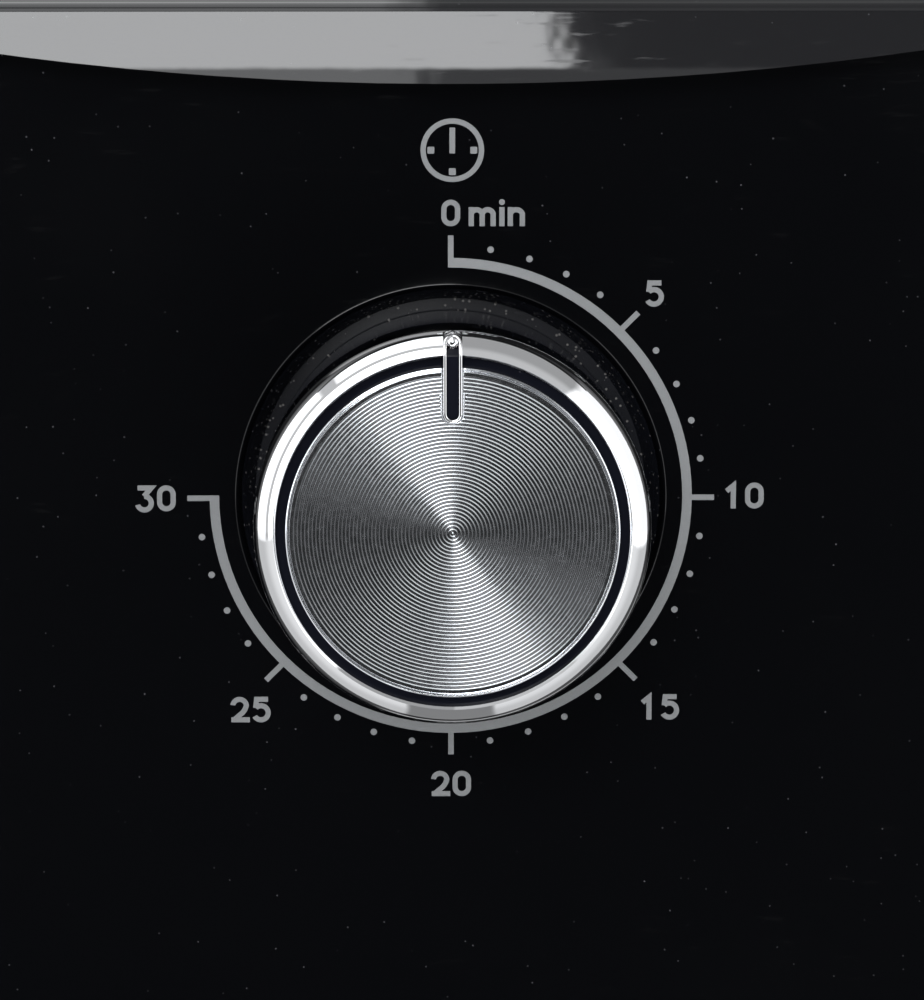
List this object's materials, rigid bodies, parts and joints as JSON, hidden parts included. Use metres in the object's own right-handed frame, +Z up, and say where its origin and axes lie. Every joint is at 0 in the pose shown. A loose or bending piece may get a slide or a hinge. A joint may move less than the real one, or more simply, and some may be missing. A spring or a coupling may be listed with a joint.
{
  "type": "mechanical timer",
  "caption": "Bench minute timer: glossy black fascia, chrome-ringed winding knob on a printed dial, bowed cap, and a case with movement, switch, bell and mains sockets.",
  "frame": {"origin": "bottom centre of the bounding box, on the surface that the feet stand on", "axes": "+Z up, front fascia and knob face -Y, +X to the right seen from the front"},
  "size_m": [0.1332, 0.105, 0.148],
  "materials": {
    "fascia_gloss": "gloss",
    "cap_gloss": "gloss",
    "scale_ink": "satin",
    "case_black": "fine texture",
    "knob_black": "gloss",
    "bezel_chrome": "polished",
    "turned_aluminium": "fine concentric turning",
    "foot_rubber": "matte",
    "bright_steel": "zinc plated",
    "spring_steel": "blued",
    "brass": "satin",
    "nylon_white": "matte",
    "bell_steel": "nickel plated",
    "socket_black": "fine texture",
    "wire_brown": "matte",
    "wire_blue": "matte",
    "wire_green": "matte"
  },
  "bodies": {
    "case": {"fascia": "fascia_gloss", "scale_print": "scale_ink", "top_cap": "cap_gloss", "case_shell": "case_black", "rear_cover": "case_black", "rubber_feet": "foot_rubber", "rear_screws": "bright_steel", "cap_screws": "bright_steel", "timer_screws": "bright_steel", "movement_front_plate": "bright_steel", "movement_back_plate": "bright_steel", "plate_pillars": "bright_steel", "shaft_bush": "brass", "spring_barrel": "bright_steel", "mainspring": "spring_steel", "contact_block": "socket_black", "fixed_contact": "brass", "hammer_pivot": "bright_steel", "gong_post": "bright_steel", "bell_gong": "bell_steel", "gong_nut": "bright_steel", "mains_inlet": "socket_black", "inlet_pins": "brass", "lamp_outlet": "socket_black", "outlet_contacts": "brass", "socket_screws": "bright_steel", "live_wire": "wire_brown", "switched_wire": "wire_brown", "neutral_wire": "wire_blue", "earth_wire": "wire_green"},
    "dial_shaft": {"knob_body": "knob_black", "knob_bezel": "bezel_chrome", "knob_disc": "turned_aluminium", "knob_pointer": "bezel_chrome", "pointer_inlay": "knob_black", "knob_clip": "bright_steel", "main_shaft": "bright_steel", "circlip": "bright_steel", "main_wheel": "brass", "ratchet_wheel": "bright_steel", "switch_cam": "nylon_white", "strike_cam": "nylon_white"},
    "click": {"click_pawl": "bright_steel"},
    "second_arbor": {"second_wheel": "brass", "second_pinion": "brass"},
    "third_arbor": {"third_wheel": "nylon_white", "third_pinion": "brass"},
    "escape_arbor": {"escape_wheel": "nylon_white", "escape_pinion": "brass"},
    "pallet": {"pallet_lever": "nylon_white", "pallet_pins": "brass", "balance_weight": "brass"},
    "contact_arm": {"moving_blade": "brass"},
    "hammer": {"hammer_arm": "bright_steel", "hammer_head": "brass"}
  },
  "joints": [
    {"name": "knob_turn", "type": "hinge", "parent": "case", "child": "dial_shaft", "pos_m": [0, -0.02712, 0.078], "axis": [0, 1, 0], "range_deg": [0, 270], "stiffness_Nm_per_rad": 0.02, "springref_deg": -28.65},
    {"name": "second_turn", "type": "hinge", "parent": "case", "child": "second_arbor", "pos_m": [0.01341, -0.02712, 0.08925], "axis": [0, 1, 0], "range_deg": [-1620, 0]},
    {"name": "third_turn", "type": "hinge", "parent": "case", "child": "third_arbor", "pos_m": [0.00072, -0.02712, 0.09516], "axis": [0, 1, 0], "range_deg": [0, 9720]},
    {"name": "escape_turn", "type": "hinge", "parent": "case", "child": "escape_arbor", "pos_m": [-0.01079, -0.02712, 0.09098], "axis": [0, 1, 0], "range_deg": [-58320, 0]},
    {"name": "pallet_swing", "type": "hinge", "parent": "case", "child": "pallet", "pos_m": [-0.01972, -0.02712, 0.08773], "axis": [0, 1, 0], "range_deg": [-8, 8]},
    {"name": "contact_blade", "type": "hinge", "parent": "case", "child": "contact_arm", "pos_m": [-0.017, -0.02712, 0.0655], "axis": [0, 1, 0], "range_deg": [-4, 0]},
    {"name": "hammer_swing", "type": "hinge", "parent": "case", "child": "hammer", "pos_m": [-0.018, -0.02712, 0.071], "axis": [0, 1, 0], "range_deg": [-4.8, 0]},
    {"name": "click_lift", "type": "hinge", "parent": "dial_shaft", "child": "click", "pos_m": [-0.00182, -0.02712, 0.06766], "axis": [0, 1, 0], "range_deg": [0, 8]}
  ],
  "couplings": [
    {"joint": "second_turn", "follows": "knob_turn", "ratio": -6},
    {"joint": "third_turn", "follows": "knob_turn", "ratio": 36},
    {"joint": "escape_turn", "follows": "knob_turn", "ratio": -216}
  ]
}
